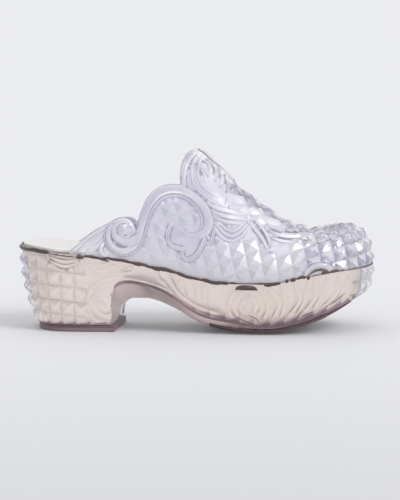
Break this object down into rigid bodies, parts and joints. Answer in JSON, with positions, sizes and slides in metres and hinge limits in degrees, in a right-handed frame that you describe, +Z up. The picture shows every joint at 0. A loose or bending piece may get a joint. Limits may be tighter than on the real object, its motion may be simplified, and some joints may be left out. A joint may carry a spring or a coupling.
{
  "type": "platform clog",
  "caption": "Open-back platform clog moulded in clear plastic: studded, scroll-edged upper on a studded platform sole with a block heel and a cream insole.",
  "frame": {"origin": "on the floor, under the centre of the shoe's box", "axes": "+X to the toe, +Y to the inner side of the foot, +Z up"},
  "size_m": [0.2567, 0.0976, 0.1297],
  "materials": {
    "clear_upper": "clear moulded plastic with a faint lilac cast",
    "tinted_sole": "clear moulded plastic with a rosy beige tint",
    "insole": "matte cream",
    "tread": "mauve brown, satin"
  },
  "bodies": {
    "root": {"upper": "clear_upper", "sole": "tinted_sole", "insole": "insole", "outsole": "tread", "heel_lift": "tread"}
  },
  "joints": []
}
